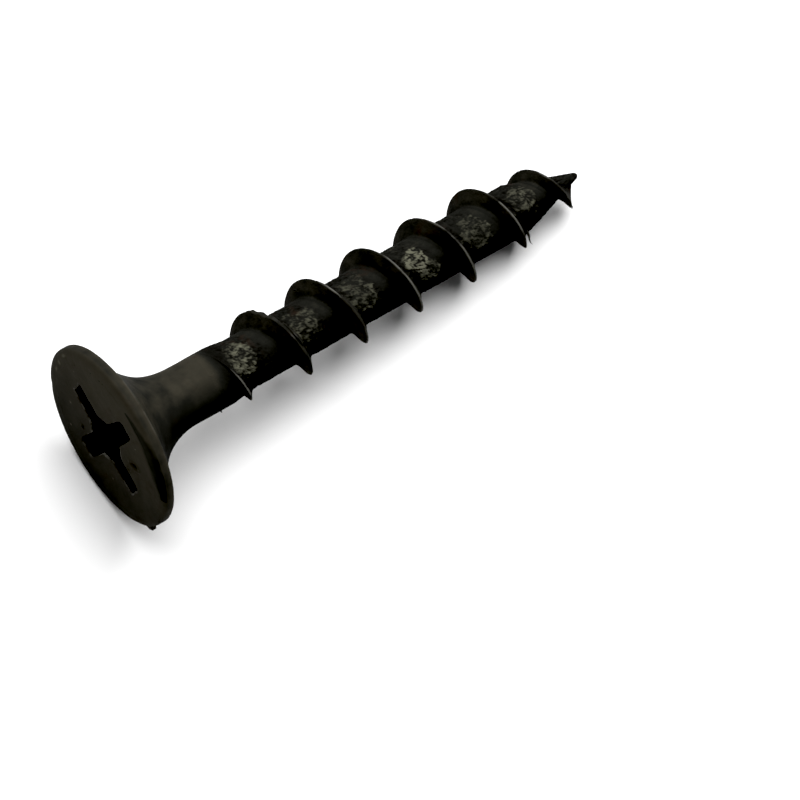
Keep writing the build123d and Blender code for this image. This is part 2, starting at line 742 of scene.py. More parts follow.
        slope = given["Flank angle"].maths("TANGENT") ** -1.0
        drop = from_edge.at_least(0.0) * slope
        second_drop = (from_second - self.second_edge_land).at_least(0.0) * slope
        second = outer - self.second_edge_drop - second_drop + (doubled - 1.0) * 2.0
        height = (outer - drop).at_least(second).soft_at_least(core, self.thread.base_fillet * 0.5)
        radius = height * here.s.ramp(self.shank.core_start, self.shank.core_start + 0.02, smooth=False)
        tip_fade = (given["Overall length"] - here.s).ramp(0.0, self.tip_fade_length, smooth=False)
        radius = radius * tip_fade + core * (1.0 - tip_fade)

        edge = from_edge.ramp(self.line_width, 0.0).at_least(from_second.ramp(0.04, 0.01) * doubled)
        rubbed = sheet.cloud(here.along_helix, 2.4, detail=4.0, seed=14.0, rough=0.6).ramp(0.45, 0.62)
        # The crest line is partly wear and partly a painted highlight: it is strongest on the turns around
        # sight_turn, the side that faces the viewer.
        worn_and_highlit = edge * (rubbed * 0.92 + 0.08) * (here.in_sight * 0.85 + 0.15)
        worn_and_highlit = worn_and_highlit * (outer - core).ramp(0.02, 0.2) * (1.0 - here.lump * 0.8)
        swing = (sheet.cloud(here.along_helix, 1.1, detail=3.0, seed=4.0) - 0.5) * self.lean
        along = here.s + swing * (radius - core).ramp(0.1, 0.7)
        wound = sheet.join(radius * here.angle.maths("COSINE"), radius * here.angle.maths("SINE"), along)
        merged = sheet.node("GeometryNodeMergeByDistance")
        merged.inputs["Distance"].default_value = self.merge_distance
        kept = sheet.stored(grid, WEAR_AND_HIGHLIGHT, worn_and_highlit)
        sheet.moved(kept, "Position", wound).feed(merged.inputs["Geometry"])
        return sheet.out(merged)

    def core_map(self, sheet: Sheet, given: dict[str, Field]) -> CoreMap:
        """Draws the patterns that the core's relief and its colours follow.

        Args:
            sheet: the tree's helper.
            given: the tree's named inputs.

        Returns:
            The patterns.
        """
        x, y, s = sheet.split(sheet.out(sheet.node("GeometryNodeInputPosition")))
        radius = (x * x + y * y) ** 0.5
        turn = y.maths("ARCTAN2", x) / (2.0 * math.pi)
        offset = self.from_crest(given, turn, s)
        collar = offset.ramp(-1.25, -0.75) * offset.ramp(0.03, -0.03)
        stretched = sheet.join(x, y, s * 0.55 + given["Seed"])
        ragged = sheet.warped(stretched, 0.16, 3.2, seed=5.0)
        edges = sheet.cells(ragged, 5.2, Feature.EDGE, seed=7.0)
        crack = 1.0 - sheet.out(edges, "Distance").ramp(0.0, 0.09)
        granule = sheet.lot(sheet.cells(ragged, 12.0, Feature.NEAREST, seed=15.0))
        twisted = sheet.warped(stretched, 0.1, 5.0, seed=8.0)
        torn = sheet.cloud(twisted, 2.6, detail=5.0, seed=9.0, rough=0.66)
        near, torn_side, fade = self.kept_crust(s, turn)
        cover = torn * 0.85 + near * 0.26 - collar * 0.10 - 0.04
        plate = cover.ramp(0.46, 0.56)
        hole = sheet.cells(ragged, 1.3, Feature.NEAREST, seed=16.0)
        grit = sheet.cloud(stretched, 9.0, detail=3.0, seed=11.0) - 0.5
        return CoreMap(
            s=s,
            turn=turn,
            stretched=stretched,
            on_core=1.0 - (radius - self.core_radius(given, s)).ramp(0.04, 0.34),
            rolled=s.ramp(self.shank.join_at + 0.5, self.shank.join_at + 1.6),
            collar=collar,
            groove=offset.hill(0.52, 0.16) + offset.hill(-0.5, 0.12) * 0.6,
            lumps=sheet.cloud(stretched, 1.25, detail=2.0, seed=6.0) - 0.5,
            cover=cover,
            plate=plate,
            plate_height=sheet.lot(sheet.cells(ragged, 5.2, Feature.NEAREST, seed=7.0)),
            granule=granule,
            crack=crack,
            grit=grit,
            pit=sheet.out(hole, "Distance").ramp(0.19, 0.08) * sheet.lot(hole).ramp(0.4, 0.45),
            bare=(1.0 - collar * 0.85) * (1.0 - plate),
            scored=grit * 1.3 - crack * 0.35 + (granule - 0.5) * 0.25,
            torn_side=torn_side,
            fade=fade,
        )

    def crusted(self, sheet: Sheet, given: dict[str, Field], mesh: Field) -> Field:
        """Roughens the rolled surface: torn scale on the core, smooth collars, rubbed flanks.

        Args:
            sheet: the tree's helper.
            given: the tree's named inputs.
            mesh: the wound ribbon.

        Returns:
            The rough mesh, with its tone, painted shade included, and its scale stored on it.
        """
        here = self.core_map(sheet, given)
        near_tip = (given["Overall length"] - here.s).ramp(0.03, 1.2)
        relief = self.relief(sheet, here) * here.rolled * near_tip
        normal = sheet.out(sheet.node("GeometryNodeInputNormal"))
        rise = sheet.vector("SCALE", normal, scale=relief * given["Crust depth"])
        rough = sheet.moved(mesh, "Offset", rise)
        held = sheet.stored(rough, SCALE, self.paleness(here) * here.rolled * here.on_core)
        return sheet.stored(held, TONE, self.tone(sheet, here))

    def relief(self, sheet: Sheet, here: CoreMap) -> Field:
        """Height of the rough surface, where 1 is the full depth of the crust."""
        cell = 0.65 + (here.plate_height - 0.5) * 0.5 + (here.granule - 0.5) * 0.35
        crust = here.plate * (cell - here.crack * 0.45)
        bare = here.bare * here.scored
        on_core = here.lumps * 1.1 + crust + here.grit * 0.5 + bare - here.pit * 1.6 - here.groove * 0.4
        swell = sheet.cloud(here.stretched, 3.0, detail=3.0, seed=12.0) - 0.5
        on_flank = here.grit * 0.2 + swell * 0.4
        return on_core * here.on_core + on_flank * (1.0 - here.on_core)

    def paleness(self, here: CoreMap) -> Field:
        """How much pale crust shows: palest where it is thick and along its torn side."""
        rim = here.cover.hill(0.55, 0.05) * (0.15 + here.torn_side * 0.9)
        cell = 0.46 + (here.granule - 0.5) * 0.5 + (here.plate_height - 0.5) * 0.45
        kept = cell - here.crack * 0.5 + here.grit * 0.8 + rim
        loose = here.bare * (here.granule - 0.72) * 0.6
        return here.plate * kept * here.fade + loose + here.grit * 0.5 - here.pit

    def tone(self, sheet: Sheet, here: CoreMap) -> Field:
        """How light the coat is: dark neck, grooves darkened as painted shade, lighter collars and flanks,
        and painted shade on one side of the core.
        """
        # Painted shade laid into the tone on one side of the core and on its collars.
        before_painted_shade_ends = self.across(here.turn, self.painted_shade_fall)
        painted_light_share = 1.0 - self.across(here.turn, self.painted_shade_rise, smooth=False) * before_painted_shade_ends * self.shade
        painted_light_share_on_collars = painted_light_share - self.across(here.turn, self.painted_collar_shade_rise) * before_painted_shade_ends * here.collar * self.painted_collar_shade
        join = self.shank.join_at
        neck = (0.86 - here.s.ramp(join + 0.1, join + 0.75) * 0.62) * painted_light_share
        worked = 0.38 + here.lumps * 0.6 + here.collar * 0.10 + here.bare * here.scored * 0.9
        # Painted shade: the tone is lowered in the grooves beside each crest; the pits are made darker too.
        worked = worked - here.groove * 0.25 - here.pit
        on_core = neck + (worked * (painted_light_share_on_collars * 0.8 + 0.2) - neck) * here.rolled
        smear = sheet.cloud(here.stretched, 1.7, detail=4.0, seed=17.0, rough=0.6) - 0.5
        return on_core * here.on_core + (1.0 - here.on_core) * (0.60 + smear * 0.7)

    def across(self, turn: Field, degrees: tuple[float, float], smooth: bool = True) -> Field:
        """Rises from 0 at the first angle around the axis to 1 at the second."""
        start, end = degrees
        return turn.ramp(start / 360.0, end / 360.0, smooth=smooth)

    def kept_crust(self, s: Field, turn: Field) -> tuple[Field, Field, Field]:
        """Finds the patches where the crust has stayed.

        Args:
            s: distance from the head's face.
            turn: place around the axis, as a share of a turn.

        Returns:
            How near a place is to a patch, how far it lies on its torn side, and how pale it is.
        """
        nearest = s * 0.0
        torn_side = s * 0.0
        paleness = s * 0.0 + 0.3
        for patch in self.patches:
            along = (s - patch.along) / patch.half_length
            side = (turn - patch.turn / 360.0) * (2.0 * math.pi * self.shank.root_radius / patch.half_width)
            near = 1.0 - (along * along + side * side).ramp(0.2, 1.5)
            nearest = nearest.at_least(near)
            torn_side = torn_side.at_least(near * (along + side).ramp(0.1, 1.0))
            paleness = paleness.at_least(near * patch.pale)
        return nearest, torn_side, paleness

    def from_crest(self, given: dict[str, Field], turn: Field, s: Field) -> Field:
        """Distance along the screw from the nearest crest, negative on its head side.

        Args:
            given: the tree's named inputs.
            turn: place around the axis, as a share of a turn.
            s: distance from the head's face.

        Returns:
            The distance in millimetres.
        """
        shifted = turn - self.thread.phase / 360.0
        whole = (s / given["Pitch"] - shifted).maths("ROUND")
        return s - (whole + shifted) * given["Pitch"]


@dataclass
class CrustFlakes:
    """Small thin flakes that have come half loose on the crust, scattered where it is thick."""

    per_square_mm: float = 7.0
    flake_size: float = 0.06
    seed: int = 3
    thick_crust: tuple[float, float] = (0.3, 0.6)
    least_tilt: tuple[float, float, float] = (-0.5, -0.25, -0.6)
    most_tilt: tuple[float, float, float] = (0.5, 0.25, 0.6)
    least_spread: tuple[float, float, float] = (0.5, 0.25, 0.08)
    most_spread: tuple[float, float, float] = (1.8, 0.8, 0.2)

    def build(self, lie: Lie, base: bpy.types.Mesh, material: bpy.types.Material) -> bpy.types.Object:
        """Makes the flakes.

        Args:
            lie: where the screw lies.
            base: mesh of the threaded core in the screw's own millimetres.
            material: the finish of the rolled thread.

        Returns:
            The finished piece.
        """
        values = {"Density": self.per_square_mm, "Size": self.flake_size, "Seed": self.seed}
        inputs = {
            "Core": Kind.MESH,
            "Density": Kind.NUMBER,
            "Size": Kind.NUMBER,
            "Seed": Kind.WHOLE_NUMBER,
        }
        sheet, given = Sheet.with_inputs("crust_flakes", inputs)
        sheet.finish(self.dressed(sheet, self.scattered(sheet, given)), material)
        mesh = evaluated_mesh(sheet.tree, "crust_flakes", values, base)
        lay_down(mesh, lie)
        return as_piece(mesh, material)

    def scattered(self, sheet: Sheet, given: dict[str, Field]) -> Field:
        """Scatters flat flakes over the thick crust, roughly along the screw.

        Args:
            sheet: the tree's helper.
            given: the tree's named inputs.

        Returns:
            The flakes as one mesh.
        """
        thick = sheet.named(SCALE).ramp(*self.thick_crust)
        scattered = sheet.node("GeometryNodeDistributePointsOnFaces", distribute_method="RANDOM")
        given["Core"].feed(scattered.inputs["Mesh"])
        (given["Density"] * thick).feed(scattered.inputs["Density"])
        given["Seed"].feed(scattered.inputs["Seed"])
        lengthwise = sheet.node("FunctionNodeAlignRotationToVector", axis="X", pivot_axis="Z")
        sheet.out(scattered, "Rotation").feed(lengthwise.inputs["Rotation"])
        lengthwise.inputs["Vector"].default_value = (0.0, 0.0, 1.0)
        tilt_turn = sheet.node("FunctionNodeEulerToRotation")
        self.drawn(sheet, self.least_tilt, self.most_tilt).feed(tilt_turn.inputs[0])
        tilted = sheet.node("FunctionNodeRotateRotation", rotation_space="LOCAL")
        sheet.out(lengthwise).feed(tilted.inputs[0])
        sheet.out(tilt_turn).feed(tilted.inputs[1])
        spread = self.drawn(sheet, self.least_spread, self.most_spread)

        ball = sheet.node("GeometryNodeMeshIcoSphere")
        ball.inputs["Radius"].default_value = 1.0
        ball.inputs["Subdivisions"].default_value = 2
        placed = sheet.node("GeometryNodeInstanceOnPoints")
        sheet.out(scattered, "Points").feed(placed.inputs["Points"])
        sheet.out(ball).feed(placed.inputs["Instance"])
        sheet.out(tilted).feed(placed.inputs["Rotation"])
        sheet.vector("SCALE", spread, scale=given["Size"]).feed(placed.inputs["Scale"])
        realized = sheet.node("GeometryNodeRealizeInstances")
        sheet.out(placed).feed(realized.inputs[0])
        return sheet.out(realized)

    def dressed(self, sheet: Sheet, flakes: Field) -> Field:
        """Gives the flakes ragged outlines and keeps their paleness and tone on them."""
        place = sheet.out(sheet.node("GeometryNodeInputPosition"))
        ragged = sheet.moved(flakes, "Position", sheet.warped(place, 0.045, 7.0, seed=31.0))
        shade = sheet.cloud(place, 4.0, detail=3.0, seed=32.0) * 1.2 - 0.3
        return sheet.stored(sheet.stored(ragged, SCALE, shade), TONE, shade * 0.8)

    def drawn(self, sheet: Sheet, least: tuple[float, ...], most: tuple[float, ...]) -> Field:
        """Random vector between two, drawn for each flake."""
        node = sheet.node("FunctionNodeRandomValue", data_type="FLOAT_VECTOR")
        node.inputs["Min"].default_value = least
        node.inputs["Max"].default_value = most
        return sheet.out(node)


@dataclass(frozen=True)
class Sliver:
    """Thin torn splinter: where it leaves the screw, where it ends, and how thick its foot is."""

    along: float
    turn: float
    radius: float
    end_along: float
    end_turn: float
    end_radius: float
    thickness: float


@dataclass
class Slivers:
    """Splinters and tiny burrs that rolling has left on the crest, the flanks and the shank."""

    sides: int = 7
    steps: int = 9
    seed: int = 3
    bend: float = 0.35
    taper_power: float = 0.7
    flatness: float = 0.6
    unevenness: float = 0.35
    coat: tuple[tuple[str, float], ...] = ((WEAR_AND_HIGHLIGHT, 0.25), (SCALE, 0.0), (TONE, 0.3))
    pieces: tuple[Sliver, ...] = (
        Sliver(20.90, 80.0, 1.10, 20.95, 96.0, 1.71, 0.070),
        Sliver(23.66, 112.0, 0.95, 23.70, 116.0, 1.22, 0.085),
        Sliver(4.94, 106.0, 1.22, 4.97, 109.0, 1.38, 0.070),
        Sliver(10.66, -62.0, 1.22, 10.40, -74.0, 1.56, 0.034),
        Sliver(10.38, -74.0, 1.55, 10.52, -52.0, 1.62, 0.026),
        Sliver(8.22, -22.0, 1.42, 7.90, -32.0, 1.72, 0.050),
        Sliver(14.89, 98.0, 1.60, 15.08, 107.0, 1.80, 0.045),
        Sliver(17.35, -20.0, 1.08, 17.05, -34.0, 1.34, 0.040),
    )

    def build(self, lie: Lie, material: bpy.types.Material) -> bpy.types.Object:
        """Makes the splinters, each a bent tapering spike whose foot is sunk in the screw.

        Args:
            lie: where the screw lies.
            material: the finish of the rolled thread.

        Returns:
            The finished piece.
        """
        noise.seed_set(self.seed)
        points: list[Vector] = []
        faces: list[tuple[int, ...]] = []
        for index, sliver in enumerate(self.pieces):
            self.spike(sliver, index, points, faces)
        mesh = bpy.data.meshes.new("slivers")
        mesh.from_pydata(points, [], faces)
        for name, value in self.coat:
            layer = mesh.attributes.new(name, "FLOAT", "POINT")
            layer.data.foreach_set("value", np.full(len(points), value, dtype=np.float32))
        outward(mesh)
        lay_down(mesh, lie)
        return as_piece(mesh, material)

    def spike(self, sliver: Sliver, index: int, points: list[Vector], faces: list[tuple[int, ...]]) -> None:
        """Adds one splinter.

        Args:
            sliver: its ends and thickness.
            index: its number, which picks how it bends.
            points: the places that it adds to.
            faces: the faces that it adds to.
        """
        start = self.place(sliver.along, sliver.turn, sliver.radius)
        end = self.place(sliver.end_along, sliver.end_turn, sliver.end_radius)
        run = (end - start).normalized()
        side = run.orthogonal().normalized()
        other = run.cross(side)
        first = len(points)
        for step in range(self.steps):
            share = step / self.steps
            swing = noise.noise_vector(Vector((index * 5.0, share * 2.5, 0.0)))
            centre = start.lerp(end, share) + swing * (self.bend * share * (end - start).length)
            reach = sliver.thickness * (1.0 - share) ** self.taper_power
            for k in range(self.sides):
                angle = 2.0 * math.pi * k / self.sides
                uneven = 1.0 + self.unevenness * noise.noise(Vector((index * 3.0, 4.0 * share, angle)))
                out = side * math.cos(angle) + other * self.flatness * math.sin(angle)
                points.append(centre + out * reach * uneven)
        points.extend((start, end))
        for step in range(self.steps - 1):
            for k in range(self.sides):
                a, b = first + step * self.sides + k, first + step * self.sides + (k + 1) % self.sides
                faces.append((a, b, b + self.sides, a + self.sides))
        foot, tip = len(points) - 2, len(points) - 1
        last = first + (self.steps - 1) * self.sides
        for k in range(self.sides):
            following = (k + 1) % self.sides
            faces.append((foot, first + following, first + k))
            faces.append((tip, last + k, last + following))

    def place(self, along: float, turn: float, radius: float) -> Vector:
        """Place in the screw's own millimetres."""
        angle = math.radians(turn)
        return Vector((radius * math.cos(angle), radius * math.sin(angle), along))


@dataclass(frozen=True)
class Blemish:
    """Small mark on the head: where it is, its half sizes, its rise, its paleness and its lip's share."""

    radius: float
    turn: float
    half_across: float
    half_around: float
    rise: float
    pale: float = 0.0
    lip: float = 0.0


def patterned(places: np.ndarray, pattern: Callable[[Vector], float]) -> np.ndarray:
    """Value of a noise pattern at each place of a grid."""
    return np.array([pattern(Vector(place)) for place in places.reshape(-1, 3)]).reshape(places.shape[:-1])


def turn_from(degrees: np.ndarray, centre: float) -> np.ndarray:
    """Angles measured from a centre, between -180 and 180 degrees."""
    return (degrees - centre + 180.0) % 360.0 - 180.0


@dataclass(frozen=True)
class HeadMap:
    """Where each place of the head's rows is, and the patterns that its relief and its burr follow."""

    radius: np.ndarray
    depth: np.ndarray
    degrees: np.ndarray
    bumps: np.ndarray
    drawn: np.ndarray


@dataclass
class Head:
    """Head with its recess, flare and plain shank, as one closed surface of rows around the axis."""

    shank: ShankSizes = field(default_factory=ShankSizes)
    columns: int = 432
    head_radius: float = 4.025
    face_radius: float = 3.475
    rim_front: float = 0.2
    rim_back: float = 0.44
    rim_back_rounding: float = 0.09
    flare_shoulder_depth: float = 0.98
    recess_half_span: float = 2.4
    recess_floor_half_span: float = 1.15
    recess_depth: float = 2.45
    recess_tip_depth: float = 0.3
    wing_half_width: float = 0.475
    wing_floor_half_width: float = 0.31
    recess_core_radius: float = 1.025
    recess_core_floor_radius: float = 0.65
    recess_turn: float = 18.6
    mouth_rounding: float = 0.07
    floor_rows: int = 13
    wall_rows: int = 34
    rounding_rows: int = 5
    face_rows: int = 44
    edge_rows: int = 11
    band_rows: int = 6
    back_rows: int = 5
    flare_rows: int = 72
    shank_rows: int = 22
    mouth_rows: int = 9
    swell_height: float = 0.016
    bump_height: float = 0.0035
    pit_depth: float = 0.03
    rim_drop: float = 0.003
    rim_line_depth: float = 0.006
    tone_depths: tuple[float, ...] = (0.0, 0.10, 0.22, 0.42, 0.53, 0.75, 1.3, 2.6, 3.6, 4.2, 4.72)
    tones: tuple[float, ...] = (0.80, 0.74, 0.62, 0.82, 0.98, 0.70, 0.58, 0.64, 0.81, 0.88, 0.82)
    patchiness: float = 0.22
    # Painted light: the face is lighter towards one side, at the turn given below, and darker towards the
    # other.
    painted_face_light: float = 0.28
    painted_face_light_turn: float = -5.0
    # Painted shade on the flare and the shank over the turns from about 8 to 165 degrees.
    shade: float = 0.56
    painted_shade_turns: tuple[float, ...] = (8.0, 58.0, 120.0, 165.0)
    painted_shade_shares: tuple[float, ...] = (0.0, 1.0, 1.0, 0.0)
    # Painted shade: a dark crescent on the rolled edge between the face and the rim; the field named stain
    # sets how dark it is.
    crescent_shade_turns: tuple[float, ...] = (8.0, 16.0, 26.0, 36.0, 46.0, 56.0, 64.0, 74.0)
    crescent_shade_radii: tuple[float, ...] = (3.36, 3.44, 3.54, 3.62, 3.67, 3.76, 3.84, 3.90)
    crescent_shade_widths: tuple[float, ...] = (0.04, 0.10, 0.18, 0.24, 0.27, 0.27, 0.24, 0.10)
    stain: float = 0.43
    speck: float = 0.45
    ridge_half_width: float = 0.16
    burr_turn: float = 122.5
    burr_depth: float = 0.32
    burr_height: float = 0.25
    burr_half_width: float = 0.21
    burr_half_length: float = 0.16
    blemishes: tuple[Blemish, ...] = (
        Blemish(2.03, 64.0, 0.26, 0.15, -0.055, -0.35, 0.7),
        Blemish(1.66, 82.0, 0.12, 0.10, -0.030, -0.1, 0.6),
        Blemish(1.74, -133.0, 0.09, 0.09, -0.050, -0.4, 0.7),
        Blemish(2.40, -107.0, 0.06, 0.06, 0.012, 1.6),
        Blemish(2.88, -138.0, 0.06, 0.07, 0.010, 1.4),
        Blemish(3.05, -60.0, 0.05, 0.05, 0.008, 1.2),
        Blemish(2.10, 150.0, 0.05, 0.05, 0.008, 1.1),
        Blemish(3.76, -66.0, 0.09, 0.34, -0.010, 1.3),
        Blemish(3.62, -78.0, 0.13, 0.14, -0.008, 0.9),
        Blemish(3.56, -88.0, 0.06, 0.20, -0.004, 0.9),
        Blemish(3.99, -158.0, 0.20, 0.20, -0.050, -0.1),
        Blemish(3.92, -112.0, 0.10, 0.30, -0.025, 0.2),
        Blemish(3.95, 165.0, 0.09, 0.12, -0.050, 0.3),
    )

    @property
    def recess_rows(self) -> int:
        """Number of rows in the recess."""
        return self.floor_rows + self.wall_rows

    def turns(self) -> np.ndarray:
        """Angle of each column around the axis, in radians."""
        return np.radians(np.arange(self.columns) * 360.0 / self.columns)

    def build(self, lie: Lie, material: bpy.types.Material) -> bpy.types.Object:
        """Makes the head, flare and plain shank.

        Args:
            lie: where the screw lies.
            material: the finish of the forged head.

        Returns:
            The finished piece.
        """
        radii, depths = self.rows()
        turns = self.turns()
        points = np.stack([radii * np.cos(turns), radii * np.sin(turns), depths], axis=-1)
        mesh = self.skin(self.uneven(points))
        self.mark(mesh, points, radii)
        outward(mesh)
        lay_down(mesh, lie)
        return as_piece(mesh, material)

    def wing_radius(self, turns: np.ndarray, share: float) -> np.ndarray:
        """Outline of the recess at one depth, as a distance from the axis.

        Args:
            turns: angles around the axis, in radians.
            share: depth as a share of the recess's depth.

        Returns:
            The distance at each angle.
        """
        half_span = self.recess_half_span + (self.recess_floor_half_span - self.recess_half_span) * share
        half_width = self.wing_half_width + (self.wing_floor_half_width - self.wing_half_width) * share
        core = self.recess_core_radius + (self.recess_core_floor_radius - self.recess_core_radius) * share
        here = turns - math.radians(self.recess_turn)
        around = [Vector((4.0 * math.cos(t), 4.0 * math.sin(t), 1.5 * share)) for t in turns]
        ragged = np.array([noise.fractal(place, 0.7, 2.0, 3) for place in around])
        reaches = [np.full_like(turns, core)]
        for quarter in (0.0, math.pi / 2):
            cosine = np.abs(np.cos(here - quarter)) + 1e-6
            sine = np.abs(np.sin(here - quarter)) + 1e-6
            reaches.append(((cosine / half_span) ** 9 + (sine / half_width) ** 9) ** (-1 / 9))
        outline = sum(reach**16 for reach in reaches) ** (1 / 16)
        return outline * (1.0 + (0.06 - 0.03 * share) * ragged)

    def rows(self) -> tuple[np.ndarray, np.ndarray]:
        """Rows from the recess's floor over the face and the rim to the end of the shank.

        Returns:
            The distance from the axis and from the head's face, for each row and column.
        """
        turns = self.turns()
        ones = np.ones(self.columns)
        radii: list[np.ndarray] = []
        depths: list[np.ndarray] = []

        def add(radius: np.ndarray | float, depth: np.ndarray | float) -> None:
            """Adds one row."""
            radii.append(radius * ones)
            depths.append(depth * ones)

        floor = self.wing_radius(turns, 1.0)
        for share in np.linspace(0.0, 0.96, self.floor_rows):
            reach = floor * max(share, 1e-4)
            cone = np.clip(1.0 - reach / self.recess_core_floor_radius, 0.0, 1.0)
            add(reach, self.recess_depth + self.recess_tip_depth * cone)
        for share in np.linspace(1.0, 0.0, self.wall_rows, endpoint=False) ** 1.3:
            add(self.wing_radius(turns, share), max(share * self.recess_depth, self.mouth_rounding))
        mouth = self.wing_radius(turns, 0.0)
        for angle in np.radians(np.linspace(15.0, 90.0, self.rounding_rows)):
            out = self.mouth_rounding * (1.0 - math.cos(angle))
            add(mouth + out, self.mouth_rounding * (1.0 - math.sin(angle)))
        edge = mouth + self.mouth_rounding
        inner = (self.face_radius, 0.0)
        for share in np.linspace(0.0, 1.0, self.face_rows + 1)[1:]:
            add(edge + (self.face_radius - edge) * share, 0.0)
        for share in np.linspace(0.0, 1.0, self.edge_rows + 1)[1:]:
            add(*bend(inner, (self.head_radius, 0.0), (self.head_radius, self.rim_front), share))
        for share in np.linspace(0.0, 1.0, self.band_rows + 1)[1:]:
            add(self.head_radius, self.rim_front + (self.rim_back - self.rim_front) * share)
        for angle in np.radians(np.linspace(0.0, 90.0, self.back_rows + 1)[1:]):
            back = self.rim_back_rounding
            add(self.head_radius - back * (1.0 - math.cos(angle)), self.rim_back + back * math.sin(angle))
        start = (self.head_radius - self.rim_back_rounding, self.rim_back + self.rim_back_rounding)
        elbow = (self.shank.shank_radius, start[1] + self.flare_shoulder_depth)
        end = (self.shank.shank_radius, self.shank.shank_start)
        for share in np.linspace(0.0, 1.0, self.flare_rows + 1)[1:]:
            add(*bend(start, elbow, end, share))
        shank_depths = np.linspace(self.shank.shank_start, self.shank.join_at, self.shank_rows + 1)
        for depth in shank_depths[1:]:
            add(self.shank.shank_radius, depth)
        for share in (0.5, 1.0):
            sunk = self.shank.shank_radius - self.shank.join_sink * share
            add(sunk, self.shank.join_at + self.shank.join_overlap * share)
        last = self.shank.join_at + self.shank.join_overlap
        add(1e-4, last + 0.02)
        return np.array(radii), np.array(depths)

    def uneven(self, points: np.ndarray) -> np.ndarray:
        """Moves the rows as forging leaves them: along their normals by a relief, and outwards at the burr.

        Args:
            points: places of the rows.

        Returns:
            The moved places.
        """
        across = np.roll(points, -1, axis=1) - np.roll(points, 1, axis=1)
        normals = np.cross(across, np.gradient(points, axis=0))
        normals /= np.linalg.norm(normals, axis=-1, keepdims=True) + 1e-12
        degrees = np.degrees(np.arctan2(points[..., 1], points[..., 0]))
        along_rim = np.stack([0.33 * degrees, 0.0 * degrees, 0.0 * degrees + 2.0], axis=-1)
        here = HeadMap(
            radius=np.hypot(points[..., 0], points[..., 1]),
            depth=points[..., 2],
            degrees=degrees,
            bumps=patterned(points, lambda p: noise.fractal(p * 2.6, 0.9, 2.1, 3)),
            drawn=patterned(along_rim, noise.noise),
        )
        moved = points + normals * self.relief(points, here)[..., None]
        outwards = points[..., :2] / np.maximum(here.radius, 1e-6)[..., None]
        moved[..., :2] += outwards * self.burr(here)[..., None]
        return moved

    def relief(self, points: np.ndarray, here: HeadMap) -> np.ndarray:
        """Swells, bumps, pits and marks of the surface, and fine lines on the rim.

        Args:
            points: places of the rows.
            here: the rows' map.

        Returns:
            How far each place stands out, in millimetres.
        """
        swell = patterned(points, lambda p: noise.noise(p * 0.9))
        pits = patterned(points, lambda p: noise.noise(p * 6.5 + Vector((9.0, 0.0, 0.0))))
        relief = self.swell_height * swell + self.bump_height * here.bumps
        relief -= self.pit_depth * np.clip(pits - 0.52, 0.0, None)
        on_face = self.on_face(here.radius, here.depth)
        for blemish in self.blemishes:
            reach = self.reach(blemish, here.radius, here.degrees)
            dent = blemish.rise * np.clip(1.35 - 1.35 * reach, 0.0, 1.0)
            lip = abs(blemish.rise) * blemish.lip * np.clip(1.0 - np.abs(reach - 1.25) / 0.35, 0.0, 1.0)
            relief += (dent + lip) * on_face
        from_mouth = (np.arange(len(points))[:, None] - self.recess_rows) / self.mouth_rows
        relief *= np.clip(from_mouth, 0.1, 1.0)
        fade = np.clip((self.shank.join_at - here.depth) / 0.5, 0.0, 1.0)
        relief *= np.where(here.depth > self.shank.shank_start, fade, 1.0)
        on_rim = (here.radius > self.face_radius - 0.1) & (here.depth < self.rim_back + 0.2)
        lines = self.rim_line_depth * np.clip(here.drawn + 0.2, 0.0, 1.0)
        return np.where(on_rim, np.minimum(relief, 0.0) - self.rim_drop - lines, relief)

    def burr(self, here: HeadMap) -> np.ndarray:
        """How far the burr on the rim makes each place stand out, in millimetres."""
        around = np.abs(turn_from(here.degrees, self.burr_turn)) * math.radians(self.head_radius)
        wide = np.clip((self.burr_half_width * (1.0 + 0.5 * here.drawn) - around) / 0.07, 0.0, 1.0)
        long = np.clip((self.burr_half_length - np.abs(here.depth - self.burr_depth)) / 0.06, 0.0, 1.0)
        rough = 0.85 + 0.5 * here.bumps
        burr = self.burr_height * wide * long * rough * (here.radius > self.head_radius - 0.2)
        return np.clip(burr, 0.0, self.burr_height)

    def on_face(self, radius: np.ndarray, depth: np.ndarray) -> np.ndarray:
        """1 on the face and the rolled edge, 0 in the recess and behind the rim."""
        return ((depth < self.rim_back) & ((depth < 0.01) | (radius > self.face_radius))).astype(float)

    def reach(self, blemish: Blemish, radius: np.ndarray, degrees: np.ndarray) -> np.ndarray:
        """Distance from a blemish's middle, where 1 is its edge.

        Args:
            blemish: the mark.
            radius: distance of each place from the axis.
            degrees: angle of each place.

        Returns:
            The distance at each place.
        """
        around = turn_from(degrees, blemish.turn) * math.radians(blemish.radius)
        return np.hypot((radius - blemish.radius) / blemish.half_across, around / blemish.half_around)

    def skin(self, points: np.ndarray) -> bpy.types.Mesh:
        """Closed mesh over the rows, with one point at each end.

        Args:
            points: places of the rows.

        Returns:
            The mesh.
        """
        rows, columns = points.shape[:2]
        inner = points[1:-1].reshape(-1, 3)
        ends = np.array([points[0].mean(axis=0), points[-1].mean(axis=0)])
        vertices = np.concatenate([inner, ends])
        index = np.arange((rows - 2) * columns).reshape(rows - 2, columns)
        following = np.roll(index, -1, axis=1)
        quads = np.stack([index[:-1], following[:-1], following[1:], index[1:]], axis=-1).reshape(-1, 4)
        first, last = len(inner), len(inner) + 1
        faces = quads.tolist()
        faces += [[first, following[0, k], index[0, k]] for k in range(columns)]
        faces += [[last, index[-1, k], following[-1, k]] for k in range(columns)]
        mesh = bpy.data.meshes.new("head_and_shank")
        mesh.from_pydata(vertices.tolist(), [], faces)
        return mesh

